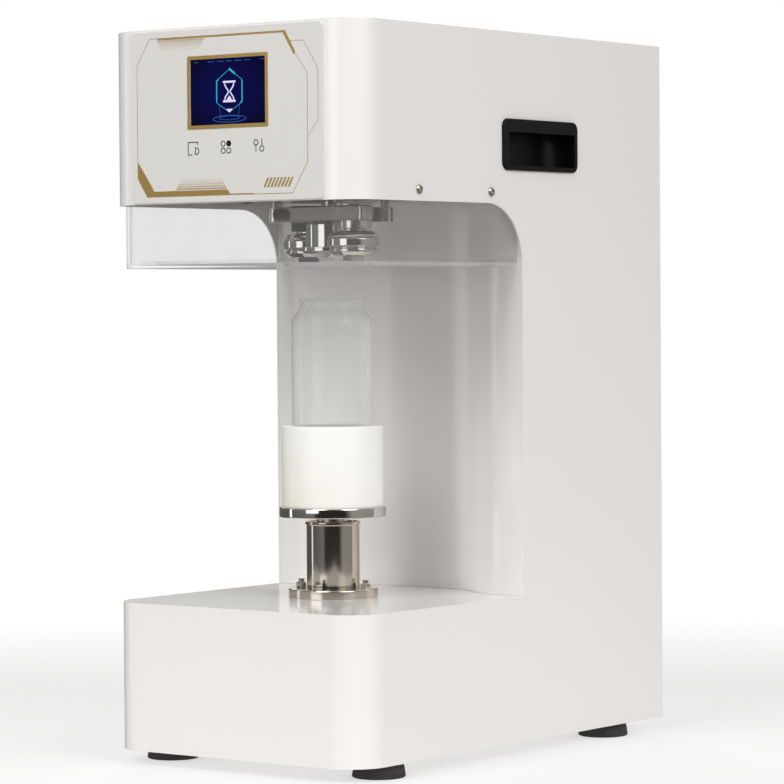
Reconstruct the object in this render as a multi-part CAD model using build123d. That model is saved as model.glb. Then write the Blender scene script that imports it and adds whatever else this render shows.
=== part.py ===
"""Bench-top sealing machine for beverage cans and cups.

Frame: millimetres, +Z up, +X to the right of someone facing the control panel, +Y to the rear.
Origin: on the floor, in the middle of the machine's footprint.
Each function builds one separate piece and is written to parts/NODE.step.
"""
import os
from math import acos, asin, atan2, cos, degrees, hypot, radians, sin

from build123d import *

# ---------------------------------------------------------------- overall size
width = 260.0
depth = 437.0
foot_height = 11.7
base_height = 120.8
opening_height = 324.4
head_height = 141.1
corner_radius = 31.0
sheet = 1.5

# ---------------------------------------------------------------- column behind the opening
column_depth = 212.3
opening_radius = 48.0
strip_width = 37.3
recess_depth = 30.0
recess_back_half = 42.5

# ---------------------------------------------------------------- clearances
running = 0.05
slip = 0.10
body_gap = 0.40
air = 2.0
cut_past = 1.0

# ---------------------------------------------------------------- rubber feet
foot_radius = 21.5
foot_top_radius = 20.0
foot_side_inset = 23.0
foot_front_inset = 53.5
foot_back_inset = 60.0
foot_edge = 1.5
foot_recess_radius = 5.5
foot_recess_depth = 3.5

# ---------------------------------------------------------------- control panel
panel_width = 197.0
panel_height = 138.5
panel_thickness = 1.6
panel_corner = 4.0
panel_base = 0.8
bezel_width = 83.0
bezel_height = 58.6
bezel_rim = 3.0
bezel_proud = 0.4
bezel_left = 38.8
bezel_above_head = 59.1
board_gap = 9.0
board_thickness = 1.6
board_side_margin = 20.0
board_low_margin = 30.0
board_top_margin = 8.0
board_spacer_inset = 5.0
board_spacer_radius = 3.0
board_spacer_overlap = 0.2
board_relay = (22.0, 9.0, 16.0)
board_terminals = (28.0, 6.0, 20.0)
board_capacitors = 3
board_capacitor_radius = 4.0
board_capacitor_height = 12.0
board_capacitor_pitch = 16.0
bezel_corner = 1.2
screen_recess = 0.3
screen_depth = 2.5

# ---------------------------------------------------------------- flush handles
handle_length = 108.7
handle_height = 42.5
handle_corner = 7.0
handle_flange = 2.5
handle_front = 196.3
handle_above_head = 27.3
handle_rim = 5.0
handle_lip = 11.0
handle_bottom_rim = 4.0
handle_reach = 24.0
handle_wall = 2.2
handle_edge = 1.2
handle_tray_inset = 3.5
handle_lip_wall = 6.0
handle_scoop = 18.0

# ---------------------------------------------------------------- clear guard
guard_inset = 5.0
guard_wall = 3.0
guard_drop = 51.4
guard_rise = 18.8
guard_port_radius = 39.0
guard_strip = 3.0
guard_strip_start = 23.0
guard_screw_radius = 2.0
guard_screw_head = 3.8
guard_screw_head_height = 2.3
guard_screw_above_head = 9.1
guard_screw_from_front = (81.2, 180.1)
guard_screw_round = 1.6
guard_socket_radius = 1.25
guard_socket_depth = 1.3
guard_spacer_radius = 4.5
guard_nut_radius = 3.6
guard_nut_height = 3.2
guard_thread_end = 0.8

# ---------------------------------------------------------------- lift
axis_from_front = 134.5
lift_travel = 38.0
flange_radius = 37.0
flange_thickness = 8.0
flange_bolt_radius = 2.5
flange_bolt_count = 4
flange_bolt_start = 12.0
flange_edge = 0.8
flange_nut_radius = 4.6
flange_nut_height = 4.0
flange_stud_above = 7.0
flange_stud_below = 10.0
tube_radius = 22.0
tube_above_deck = 63.0
tube_below_deck = 36.0
tube_lip = 1.0
tube_lip_height = 2.4
shaft_radius = 13.5
shaft_bore = 8.2
disc_radius = 44.3
disc_thickness = 8.3
disc_gap = 4.1
holder_radius = 42.2
holder_height = 67.0
holder_floor = 6.0
screw_radius = 6.0
nut_height = 18.0
nut_flange = 3.0
lift_motor_side = 57.0
lift_motor_height = 42.0
coupling_radius = 11.0
coupling_height = 15.0
coupling_slit = 1.2
coupling_slit_depth = 8.0
motor_pin_radius = 3.2
motor_boss_radius = 19.0
lift_motor_corner = 5.0
disc_edge = 0.6
holder_edge = 1.0

# ---------------------------------------------------------------- can shown in the holder
can_radius = 33.0
can_height = 166.0
can_wall = 0.6
can_rim_radius = 27.7
can_rim_height = 2.6
can_neck_radius = 25.9
can_neck_height = 5.2
can_shoulder_height = 11.0
can_foot_radius = 24.0
can_foot_height = 9.0

# ---------------------------------------------------------------- seaming head
chuck_radius = 20.5
chuck_lip_radius = 26.5
chuck_lip_height = 3.3
chuck_height = 22.0
chuck_below_head = 37.9
chuck_rod_radius = 8.0
chuck_taper = 3.0
chuck_shoulder = 3.0
chuck_socket = 14.0
chuck_nut_radius = 12.0
chuck_nut_height = 6.0
spindle_radius = 12.5
spindle_bore = 8.6
lever_below_head = 13.7
lever_height = 12.0
lever_width = 16.0
lever_outer = 60.0
lever_inner = 30.0
roller_offset_x = 45.0
roller_offset_y = 28.0
lever_pivot_x = 36.0
lever_lug_radius = 6.5
lever_shaft_radius = 4.0
lever_corner = 3.0
lever_edge = 0.6
lever_slit = 1.6
lever_eye_wall = 3.0
lever_swing = 6.5
pinch_screw_offset = 23.0
pinch_head_radius = 5.0
pinch_head_height = 6.0
pinch_screw_radius = 3.0
pinch_head_edge = 0.7
pinch_socket_radius = 2.9
pinch_socket_depth = 3.2
roller_radius = 21.3
roller_groove_radius = 20.3
roller_low_radius = 19.4
roller_bore = 6.0
roller_height = 20.0
roller_hub_height = 1.5
roller_hub_wall = 4.5
roller_foot_taper = 3.4
roller_foot_top = 3.2
roller_low_top = 5.0
roller_groove_top = 7.0
roller_groove_depth = 1.6
roller_band_top = 14.6
roller_dome_step = 1.4
roller_dome_round = 3.6
roller_below_chuck = 4.3
axle_collar_radius = 13.5
axle_collar_offset = 4.0
axle_disc_radius = 15.5
axle_disc_height = 2.6
axle_nut_height = 4.2
axle_nut_radius = 9.5
turret_gap = 2.2
turret_radius = 62.0
turret_thickness = 8.0
turret_edge = 1.0

# ---------------------------------------------------------------- roller shift mechanism
shift_travel = 6.0
cone_height = 12.0
cam_collar = 2.6
cone_middle_radius = 22.6
cam_groove_height = 5.0
cam_flange_height = 2.5
cam_groove_radius = 19.0
cam_gap = 1.2
follower_radius = 5.0
follower_height = 4.0
follower_clearance = 1.2
follower_arm_width = 6.0
follower_round = 1.6
fork_thickness = 4.0
fork_reach = 60.0
fork_width = 62.0
fork_post_radius = 5.0
fork_post_inset = 8.0
fork_rod_rise = 12.0
actuator_height = 24.0
actuator_half_width = 17.0
actuator_half_depth = 15.0
actuator_corner = 4.0

# ---------------------------------------------------------------- seaming drive
carrier_thickness = 8.0
carrier_half_width = 81.0
carrier_front_reach = 62.0
bearing_radius = 21.0
bearing_width = 9.0
bearing_housing_radius = 34.0
bearing_housing_height = 24.0
bearing_spigot_wall = 4.0
pulley_height = 15.0
turret_pulley_radius = 44.0
motor_pulley_radius = 22.0
pulley_flange_height = 1.5
pulley_flange_reach = 3.0
pulley_gap = 3.0
belt_thickness = 2.5
belt_width = 11.0
motor_radius = 44.0
motor_length = 96.0
motor_offset = 184.0
motor_shaft_radius = 6.0
motor_socket = 12.0
motor_edge = 4.0
motor_mount_hole = 20.0
motor_fins = 8
motor_fin_start = 14.0
motor_fin_pitch = 9.0
motor_fin_gap = 3.0
motor_fin_depth = 1.5
bridge_leg = 10.0
bridge_side_gap = 8.0
bridge_half_depth = 10.0
bridge_gap = 6.0
bridge_thickness = 8.0
frame_plate = 6.0
frame_plate_depth = 100.0
frame_behind_recess = 14.0

# ---------------------------------------------------------------- electrics and back cover
supply_size = (110.0, 72.0, 40.0)
supply_back_gap = 32.0
supply_corner = 1.5
supply_slots = 6
supply_slot_width = 6.0
supply_slot_pitch = 16.0
supply_slot_start = 15.0
supply_slot_ends = (15.0, 50.0)
supply_slot_depth = 1.0
inlet_width = 48.0
inlet_height = 28.0
inlet_flange = 1.8
inlet_depth = 24.0
inlet_x = 82.0
inlet_above_base = 40.0
inlet_corner = 4.0
inlet_body_half = (14.0, 10.0)
inlet_cavity_half = (11.5, 7.5)
inlet_cavity_depth = 16.0
inlet_blade_pitch = 7.0
inlet_blade_offset = 2.0
inlet_blade_half = (1.0, 2.2)
inlet_blade_recess = 2.0
switch_x = 30.0
switch_width = 22.0
switch_height = 28.0
switch_depth = 14.0
switch_wall = 1.8
switch_pivot = 5.5
switch_end_gap = 1.6
switch_lip = 2.0
switch_floor = 2.0
switch_pin_radius = 1.5
switch_pin_reach = 1.0
rocker_edge = 6.4
rocker_end = 2.5
rocker_below = 2.0
rocker_taper = 1.0
cover_screw_head = 3.4
cover_screw_head_height = 2.0
cover_screw_inset = 9.0
cover_screw_rows = 4
cover_screw_round = 1.2
cover_screw_radius = 1.6
cover_screw_reach = 6.0
cross_half_length = 2.0
cross_half_width = 0.4
cross_depth = 0.9
vent_slot_length = 70.0
vent_slot_height = 3.0
vent_slot_pitch = 9.0
vent_rows = 9
vent_side = 52.5
vent_from_opening = 40.0
vent_end_flat = 0.05

# ---------------------------------------------------------------- levels and lines worked out from the above
half_w = width / 2
front = -depth / 2
back = depth / 2
z_floor = foot_height
z_deck = z_floor + base_height
z_head = z_deck + opening_height
z_top = z_head + head_height
column_front = back - column_depth
corner_line = front + corner_radius
flange_bolt_circle = (tube_radius + flange_radius) / 2
axis_y = front + axis_from_front
recess_back = column_front + recess_depth

guard_bottom = z_head - guard_drop
guard_top = z_head + guard_rise
guard_wall_bottom = guard_bottom + guard_wall
guard_back = column_front - body_gap

tube_top = z_deck + tube_above_deck
disc_bottom = tube_top + disc_gap
disc_top = disc_bottom + disc_thickness
holder_top = disc_top + holder_height
can_bottom = disc_top + holder_floor
can_top = can_bottom + can_height
lift_motor_bottom = z_floor + sheet
coupling_bottom = lift_motor_bottom + lift_motor_height + air
screw_bottom = coupling_bottom + coupling_height / 2
shaft_bottom = coupling_bottom + coupling_height + air + nut_flange
screw_top = shaft_bottom + lift_travel + nut_height + air

chuck_bottom = z_head - chuck_below_head
chuck_top = chuck_bottom + chuck_lip_height + chuck_height
lever_bottom = z_head - lever_below_head
lever_top = lever_bottom + lever_height
roller_bottom = chuck_bottom - roller_below_chuck
roller_top = roller_bottom + roller_height
turret_bottom = lever_top + axle_disc_height + turret_gap
turret_top = turret_bottom + turret_thickness
cam_bottom = turret_top + cam_gap + shift_travel
cam_middle = cam_bottom + cone_height
cone_top = cam_middle + cone_height
groove_bottom = cone_top + cam_collar
groove_top = groove_bottom + cam_groove_height
cam_top = groove_top + cam_flange_height
carrier_bottom = cam_top + shift_travel + cam_gap
carrier_top = carrier_bottom + carrier_thickness
bearing_top = carrier_top + bearing_housing_height
pulley_bottom = bearing_top + pulley_gap
pulley_top = pulley_bottom + pulley_height
bridge_bottom = pulley_top + bridge_gap
bridge_top = bridge_bottom + bridge_thickness
motor_y = axis_y + motor_offset
frame_front = recess_back + frame_behind_recess
floor_level = guard_top + air

# The lever turns about its shaft; its follower sits where the cam's push turns the lever squarely.
pivot_distance = hypot(lever_pivot_x, roller_offset_y)
follower_distance = cone_middle_radius + follower_radius + follower_clearance
follower_arm = (pivot_distance**2 - follower_distance**2) ** 0.5
follower_throw = follower_arm * sin(radians(lever_swing))
follower_angle = atan2(-roller_offset_y, -lever_pivot_x) - acos(follower_distance / pivot_distance)


def past(limits):
    """A pair of limits for a cut that runs past both faces."""
    return (limits[0] - cut_past, limits[1] + cut_past)


def block(x, y, z):
    """Box between pairs of limits."""
    size = Box(x[1] - x[0], y[1] - y[0], z[1] - z[0])
    return Pos((x[0] + x[1]) / 2, (y[0] + y[1]) / 2, (z[0] + z[1]) / 2) * size


def rod(x, y, z, radius):
    """Upright cylinder between two heights."""
    return Pos(x, y, (z[0] + z[1]) / 2) * Cylinder(radius, z[1] - z[0])


def rod_along_y(x, y, z, radius):
    return Pos(x, (y[0] + y[1]) / 2, z) * Rot(90, 0, 0) * Cylinder(radius, y[1] - y[0])


def rod_along_x(x, y, z, radius):
    return Pos((x[0] + x[1]) / 2, y, z) * Rot(0, 90, 0) * Cylinder(radius, x[1] - x[0])


def taper(x, y, z, low_radius, high_radius):
    return Pos(x, y, (z[0] + z[1]) / 2) * Cone(low_radius, high_radius, z[1] - z[0])


def ring(x, y, z, outer, inner):
    return rod(x, y, z, outer) - rod(x, y, past(z), inner)


def plan(inset):
    """Outline of the casing seen from above, moved inwards by inset: two round front corners."""
    outline = Rectangle(width - 2 * inset, depth - 2 * inset)
    corners = outline.vertices().group_by(Axis.Y)[0]
    return fillet(corners, corner_radius - inset)


def filled_plan(inset, z):
    return Pos(0, 0, z[0]) * extrude(plan(inset), z[1] - z[0])


def wall_ring(outer_inset, inner_inset, z):
    inner = filled_plan(inner_inset, past(z))
    return filled_plan(outer_inset, z) - inner


def round_edges(solid, axis, radius):
    return fillet(solid.edges().filter_by(axis), radius)


# ---------------------------------------------------------------- casing
def side_panel(side):
    """C-shaped side of the casing; the opening's upper rear corner is a large arc."""
    inner, outer = sorted((side * (half_w - sheet), side * half_w))
    panel = block((inner, outer), (corner_line, back), (z_floor, z_top))
    opening = block(past((inner, outer)), (front - cut_past, column_front), (z_deck, z_head))
    rear_edges = opening.edges().filter_by(Axis.X).group_by(Axis.Y)[-1]
    opening = fillet(rear_edges.sort_by(Axis.Z)[-1], opening_radius)
    panel = panel - opening - handle_cutout(side)
    for from_front in guard_screw_from_front:
        y = front + from_front
        panel = panel - rod_along_x(past((inner, outer)), y, guard_screw_z(), guard_screw_radius + slip)
    return panel


def front_shell(z):
    """Front wall with its two round corners."""
    shell = wall_ring(0, sheet, z)
    return shell & block((-half_w, half_w), (front, corner_line), z)


def head_front_shell():
    shell = front_shell((z_head, z_top))
    return shell - display_opening(past((front, front + sheet)))


def base_front_shell():
    return front_shell((z_floor, z_deck))


def top_cover():
    return filled_plan(sheet, (z_top - sheet, z_top)) & block(
        (-half_w, half_w), (front, back - sheet), (z_top - sheet, z_top)
    )


def base_deck():
    """Top of the base, with the hole that the lift's guide tube passes through."""
    z = (z_deck - sheet, z_deck)
    deck = filled_plan(sheet, z) & block((-half_w, half_w), (front, recess_back + sheet), z)
    deck = deck - rod(0, axis_y, past(z), tube_radius + slip)
    for x, y in flange_bolt_places():
        deck = deck - rod(x, y, past(z), flange_bolt_radius + slip)
    return deck


def column_front_panel():
    """Front of the column: a strip at each side, sloping flanks and a recessed middle."""
    inner_half = half_w - sheet
    face_half = half_w - strip_width
    points = [
        (-inner_half, column_front),
        (-face_half, column_front),
        (-recess_back_half, recess_back),
        (recess_back_half, recess_back),
        (face_half, column_front),
        (inner_half, column_front),
        (inner_half, column_front + sheet),
        (face_half - sheet, column_front + sheet),
        (recess_back_half - sheet / 2, recess_back + sheet),
        (-recess_back_half + sheet / 2, recess_back + sheet),
        (-face_half + sheet, column_front + sheet),
        (-inner_half, column_front + sheet),
    ]
    outline = make_face(Polyline(*points, close=True))
    return Pos(0, 0, z_deck) * extrude(outline, floor_level - z_deck)


def head_floor():
    """Sheet that closes the head from below, around the turning seaming head."""
    z = (floor_level, floor_level + sheet)
    floor = filled_plan(sheet, z) & block((-half_w, half_w), (front, recess_back + sheet), z)
    return floor - rod(0, axis_y, past(z), floor_hole_radius())


def floor_hole_radius():
    return min(column_front - axis_y, half_w) - air


def bottom_plate():
    plate = filled_plan(sheet, (z_floor, z_floor + sheet))
    return plate & block((-half_w, half_w), (front, back - sheet), (z_floor, z_floor + sheet))


def back_cover():
    """Rear cover with two fields of cooling slots and the cut-outs for the inlet and the switch."""
    cover = block((-half_w + sheet, half_w - sheet), (back - sheet, back), (z_floor, z_top))
    through = past((back - sheet, back))
    for level in (z_head - vent_from_opening, z_deck + vent_from_opening):
        for row in range(vent_rows):
            for side in (-1, 1):
                z = level + row * vent_slot_pitch
                x = side * vent_side
                slot = block(
                    (x - vent_slot_length / 2, x + vent_slot_length / 2),
                    through,
                    (z - vent_slot_height / 2, z + vent_slot_height / 2),
                )
                cover = cover - round_edges(slot, Axis.Y, vent_slot_height / 2 - vent_end_flat)
    cover = cover - inlet_body(inlet_x, through, slip)
    cover = cover - switch_case(through, slip)
    for x, z in cover_screw_places():
        cover = cover - rod_along_y(x, through, z, cover_screw_radius)
    return cover


def cover_screw_places():
    x = half_w - sheet - cover_screw_inset
    low = z_floor + cover_screw_inset
    high = z_top - cover_screw_inset
    pitch = (high - low) / (cover_screw_rows - 1)
    levels = [low + row * pitch for row in range(cover_screw_rows)]
    return [(side * x, z) for side in (-1, 1) for z in levels]


def back_cover_screws():
    """Domed cross-slot screws, each a separate solid."""
    screws = []
    for x, z in cover_screw_places():
        head = rod_along_y(x, (back, back + cover_screw_head_height), z, cover_screw_head)
        head = fillet(head.edges().group_by(Axis.Y)[-1], cover_screw_round)
        cross_y = (back + cover_screw_head_height - cross_depth, back + cover_screw_head_height + cut_past)
        long_x = (x - cross_half_length, x + cross_half_length)
        long_z = (z - cross_half_length, z + cross_half_length)
        level_slot = block(long_x, cross_y, (z - cross_half_width, z + cross_half_width))
        cross = level_slot + block((x - cross_half_width, x + cross_half_width), cross_y, long_z)
        shank_y = (back - sheet - cover_screw_reach, back)
        shank = rod_along_y(x, shank_y, z, cover_screw_radius - slip)
        screws.append(head - cross + shank)
    return screws


def rubber_feet():
    """Four feet, each with a countersunk underside."""
    feet = []
    for side in (-1, 1):
        for y in (front + foot_front_inset, back - foot_back_inset):
            x = side * (half_w - foot_side_inset)
            foot = taper(x, y, (0, foot_height), foot_radius, foot_top_radius)
            foot = fillet(foot.edges().group_by(Axis.Z)[0], foot_edge)
            feet.append(foot - rod(x, y, (-cut_past, foot_recess_depth), foot_recess_radius))
    return feet


# ---------------------------------------------------------------- control panel
def panel_z():
    return (z_head + panel_base, z_head + panel_base + panel_height)


def display_window():
    x = (-bezel_left, bezel_width - bezel_left)
    z = (z_head + bezel_above_head, z_head + bezel_above_head + bezel_height)
    return x, z


def display_opening(y, inset=bezel_rim):
    x, z = display_window()
    return block((x[0] + inset, x[1] - inset), y, (z[0] + inset, z[1] - inset))


def control_panel():
    """Thin touch panel on the front of the head, cut out for the display."""
    slab = block((-panel_width / 2, panel_width / 2), (front - panel_thickness, front), panel_z())
    slab = round_edges(slab, Axis.Y, panel_corner)
    return slab - display_opening(past((front - panel_thickness, front)))


def display_bezel():
    outer_y = front - panel_thickness
    frame = display_opening((outer_y - bezel_proud, outer_y), 0)
    frame = round_edges(frame, Axis.Y, bezel_corner)
    return frame - display_opening(past((outer_y - bezel_proud, outer_y)))


def display_screen():
    y = (front - panel_thickness + screen_recess, front + sheet + screen_depth)
    return display_opening(y, bezel_rim + slip)


def control_board():
    """Circuit board behind the panel, with its spacers and a few tall parts."""
    y = front + sheet + board_gap
    window_x, window_z = display_window()
    x = (window_x[0] - board_side_margin, window_x[1] + board_side_margin)
    z = (window_z[0] - board_low_margin, window_z[1] + board_top_margin)
    board = block(x, (y, y + board_thickness), z)
    spacer_y = (front + sheet, y + board_spacer_overlap)
    for spacer_x in (x[0] + board_spacer_inset, x[1] - board_spacer_inset):
        for spacer_z in (z[0] + board_spacer_inset, z[1] - board_spacer_inset):
            board = board + rod_along_y(spacer_x, spacer_y, spacer_z, board_spacer_radius)
    wide, deep, high = board_relay
    board = board + block((window_x[0], window_x[0] + wide), (y, y + deep), (window_z[0] - high, window_z[0]))
    wide, deep, high = board_terminals
    board = board + block((window_x[1] - wide, window_x[1]), (y, y + deep), (window_z[0] - high, window_z[0]))
    capacitor_z = z[1] - board_capacitor_pitch
    for step in range(board_capacitors):
        capacitor_x = window_x[0] + (step + 0.5) * board_capacitor_pitch
        can_y = (y, y + board_capacitor_height)
        board = board + rod_along_y(capacitor_x, can_y, capacitor_z, board_capacitor_radius)
    return board


# ---------------------------------------------------------------- flush handles
def handle_limits():
    y = (front + handle_front, front + handle_front + handle_length)
    z = (z_head + handle_above_head, z_head + handle_above_head + handle_height)
    return y, z


def handle_tray(side, grow):
    """The part of the handle that passes through the side panel."""
    y, z = handle_limits()
    inner, outer = sorted((side * (half_w - handle_reach), side * (half_w + cut_past)))
    edge = handle_tray_inset - grow
    return block((inner, outer), (y[0] + edge, y[1] - edge), (z[0] + edge, z[1] - edge))


def handle_cutout(side):
    return handle_tray(side, slip)


def flush_handle(side):
    """Recessed grip: a flange on the side panel and a pocket that runs up behind the grip's lip."""
    y, z = handle_limits()
    flange_x = sorted((side * half_w, side * (half_w + handle_flange)))
    flange = round_edges(block(flange_x, y, z), Axis.X, handle_corner)
    outer_face = flange.faces().sort_by(Axis.X)[-1 if side > 0 else 0]
    flange = fillet(outer_face.edges(), handle_edge)
    tray = handle_tray(side, 0) & block((-half_w, half_w), y, z)
    pocket_bottom = half_w - handle_reach + handle_wall
    pocket_x = sorted((side * pocket_bottom, side * (half_w + handle_flange + cut_past)))
    pocket_y = (y[0] + handle_rim + handle_wall, y[1] - handle_rim)
    pocket_z = (z[0] + handle_bottom_rim, z[1] - handle_lip)
    mouth = block(pocket_x, pocket_y, pocket_z)
    far_edges = mouth.edges().filter_by(Axis.Z).group_by(Axis.Y)[-1]
    deep_edge = far_edges.sort_by(Axis.X)[0 if side > 0 else -1]
    mouth = fillet(deep_edge, handle_scoop)
    behind_lip = sorted((side * pocket_bottom, side * (half_w - handle_lip_wall)))
    room_y = (pocket_y[0], pocket_y[1] - handle_reach)
    finger_room = block(behind_lip, room_y, (pocket_z[0], z[1] - handle_lip_wall))
    return flange + tray - mouth - finger_room


# ---------------------------------------------------------------- clear guard
def guard_screw_z():
    return z_head + guard_screw_above_head


def guard_outline(z):
    return filled_plan(guard_inset, z) & block((-half_w, half_w), (front, guard_back), z)


def guard_shell():
    """One bent clear sheet: front wall and both side walls."""
    z = (guard_wall_bottom, guard_top)
    shell = guard_outline(z) - filled_plan(guard_inset + guard_wall, past(z))
    for side in (-1, 1):
        for from_front in guard_screw_from_front:
            x = past(sorted((side * (half_w - guard_inset - guard_wall), side * (half_w - guard_inset))))
            y = front + from_front
            shell = shell - rod_along_x(x, y, guard_screw_z(), guard_screw_radius + slip)
    return shell


def guard_plate():
    """Clear floor of the guard, with the round port that the can rises through."""
    z = (guard_bottom, guard_wall_bottom)
    return guard_outline(z) - rod(0, axis_y, past(z), guard_port_radius)


def guard_strips():
    """Square glued strips in the straight inner corners between wall and floor."""
    z = (guard_wall_bottom, guard_wall_bottom + guard_strip)
    inner = guard_inset + guard_wall
    straight = half_w - corner_radius
    strips = [block((-straight, straight), (front + inner, front + inner + guard_strip), z)]
    for side in (-1, 1):
        x = sorted((side * (half_w - inner - guard_strip), side * (half_w - inner)))
        strips.append(block(x, (corner_line + guard_strip_start, guard_back), z))
    return strips


def guard_screws():
    """Button-head screws with spacer and nut that hold the guard to the side panels."""
    screws = []
    z = guard_screw_z()
    for side in (-1, 1):
        for from_front in guard_screw_from_front:
            y = front + from_front
            head_x = sorted((side * half_w, side * (half_w + guard_screw_head_height)))
            head = rod_along_x(head_x, y, z, guard_screw_head)
            rim = head.edges().filter_by(GeomType.CIRCLE).sort_by(Axis.X)[-1 if side > 0 else 0]
            head = fillet(rim, guard_screw_round)
            head_top = half_w + guard_screw_head_height
            socket_x = sorted((side * (head_top - guard_socket_depth), side * (head_top + cut_past)))
            socket = rod_along_x(socket_x, y, z, guard_socket_radius)
            inner = half_w - guard_inset - guard_wall
            shank_x = sorted((side * (inner - guard_nut_height - guard_thread_end), side * half_w))
            shank = rod_along_x(shank_x, y, z, guard_screw_radius)
            spacer_x = sorted((side * (half_w - guard_inset), side * (half_w - sheet)))
            spacer = rod_along_x(spacer_x, y, z, guard_spacer_radius)
            nut_x = sorted((side * (inner - guard_nut_height), side * inner))
            nut = rod_along_x(nut_x, y, z, guard_nut_radius)
            screws.append(head - socket + shank + spacer + nut)
    return screws


# ---------------------------------------------------------------- lift
def guide_flange():
    z = (z_deck, z_deck + flange_thickness)
    flange = ring(0, axis_y, z, flange_radius, tube_radius + running)
    top_circles = flange.edges().filter_by(GeomType.CIRCLE).group_by(Axis.Z)[-1]
    flange = chamfer(top_circles.sort_by(SortBy.RADIUS)[-1], flange_edge)
    for x, y in flange_bolt_places():
        flange = flange - rod(x, y, past(z), flange_bolt_radius + slip)
    return flange


def flange_bolt_places():
    places = []
    for step in range(flange_bolt_count):
        angle = radians(flange_bolt_start + step * 360 / flange_bolt_count)
        places.append((flange_bolt_circle * cos(angle), axis_y + flange_bolt_circle * sin(angle)))
    return places


def flange_bolts():
    """Studs with hexagon nuts and a short end of thread above each nut."""
    top = z_deck + flange_thickness
    bolts = []
    for x, y in flange_bolt_places():
        nut = extrude(RegularPolygon(flange_nut_radius, 6), flange_nut_height)
        stud = rod(x, y, (z_deck - flange_stud_below, top + flange_stud_above), flange_bolt_radius)
        low_nut = Pos(x, y, z_deck - sheet - flange_nut_height) * nut
        bolts.append(Pos(x, y, top) * nut + stud + low_nut)
    return bolts


def guide_tube():
    tube = ring(0, axis_y, (z_deck - tube_below_deck, tube_top), tube_radius, shaft_radius + running)
    lip_z = (tube_top - tube_lip_height, tube_top)
    return tube + ring(0, axis_y, lip_z, tube_radius + tube_lip, shaft_radius + running)


def lift_shaft():
    shaft = rod(0, axis_y, (shaft_bottom, disc_bottom), shaft_radius)
    return shaft - rod(0, axis_y, (shaft_bottom - cut_past, screw_top + air), shaft_bore)


def lift_nut():
    """Flanged nut pressed into the foot of the lift shaft."""
    nut = ring(0, axis_y, (shaft_bottom, shaft_bottom + nut_height), shaft_bore, screw_radius + running)
    flange_z = (shaft_bottom - nut_flange, shaft_bottom)
    return nut + ring(0, axis_y, flange_z, shaft_radius, screw_radius + running)


def lead_screw():
    """Screw shown with plain flanks; the coupling turns with it."""
    return rod(0, axis_y, (screw_bottom, screw_top), screw_radius)


def screw_coupling():
    z = (coupling_bottom, coupling_bottom + coupling_height)
    body = rod(0, axis_y, z, coupling_radius)
    body = body - rod(0, axis_y, (screw_bottom, z[1] + cut_past), screw_radius)
    body = body - rod(0, axis_y, (z[0] - cut_past, screw_bottom), motor_pin_radius + running)
    slit_y = (axis_y + coupling_radius - coupling_slit_depth, axis_y + coupling_radius + cut_past)
    slit_z = (screw_bottom - coupling_slit / 2, screw_bottom + coupling_slit / 2)
    return body - block((-coupling_radius - cut_past, screw_radius), slit_y, slit_z)


def lift_motor():
    half = lift_motor_side / 2
    z = (lift_motor_bottom, lift_motor_bottom + lift_motor_height)
    body = block((-half, half), (axis_y - half, axis_y + half), z)
    body = fillet(body.edges().filter_by(Axis.Z), lift_motor_corner)
    boss = rod(0, axis_y, (z[1], z[1] + air / 2), motor_boss_radius)
    pin = rod(0, axis_y, (z[1], screw_bottom - slip), motor_pin_radius)
    return body + boss + pin


def lift_disc():
    disc = rod(0, axis_y, (disc_bottom, disc_top), disc_radius)
    return chamfer(disc.edges().group_by(Axis.Z)[-1] + disc.edges().group_by(Axis.Z)[0], disc_edge)


def can_holder():
    """White cup that centres the can on the lift."""
    holder = rod(0, axis_y, (disc_top, holder_top), holder_radius)
    holder = fillet(holder.edges().group_by(Axis.Z)[-1], holder_edge)
    return holder - rod(0, axis_y, (can_bottom, holder_top + cut_past), can_radius + body_gap)


def can_profile(inset, top):
    """Half outline of the can at the chosen distance inside its outer surface."""
    low = can_bottom + inset
    body_top = can_top - can_neck_height - can_rim_height - can_shoulder_height
    neck_low = can_top - can_rim_height - can_neck_height
    neck_high = can_top - can_rim_height
    r_body = can_radius - inset
    r_neck = can_neck_radius - inset
    outline = Line((0, low), (can_foot_radius, low))
    outline += Spline(
        (can_foot_radius, low), (r_body, low + can_foot_height), tangents=((1, 0.12), (0, 1))
    )
    outline += Line((r_body, low + can_foot_height), (r_body, body_top))
    outline += Spline((r_body, body_top), (r_neck, neck_low), tangents=((0, 1), (-0.15, 1)))
    outline += Line((r_neck, neck_low), (r_neck, neck_high))
    if inset == 0:
        outline += Line((r_neck, neck_high), (can_rim_radius, neck_high))
        outline += Line((can_rim_radius, neck_high), (can_rim_radius, top))
        outline += Line((can_rim_radius, top), (0, top))
    else:
        outline += Line((r_neck, neck_high), (r_neck, top))
        outline += Line((r_neck, top), (0, top))
    outline += Line((0, top), (0, low))
    return Pos(0, axis_y, 0) * revolve(Plane.XZ * make_face(outline), Axis.Z)


def sample_can():
    """Empty clear plastic can, open at the top, with the flange that the lid is rolled onto."""
    return can_profile(0, can_top) - can_profile(can_wall, can_top + cut_past)


# ---------------------------------------------------------------- seaming head
def seaming_chuck():
    """Still centre piece that the lid is held against."""
    lip_top = chuck_bottom + chuck_lip_height
    chuck = rod(0, axis_y, (chuck_bottom, lip_top), chuck_lip_radius)
    taper_bottom = chuck_top - chuck_taper
    chuck = chuck + rod(0, axis_y, (lip_top, taper_bottom), chuck_radius)
    shoulder = chuck_rod_radius + chuck_shoulder
    chuck = chuck + taper(0, axis_y, (taper_bottom, chuck_top), chuck_radius, shoulder)
    return chuck - rod(0, axis_y, (chuck_top - chuck_socket, chuck_top + cut_past), chuck_rod_radius)


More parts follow.
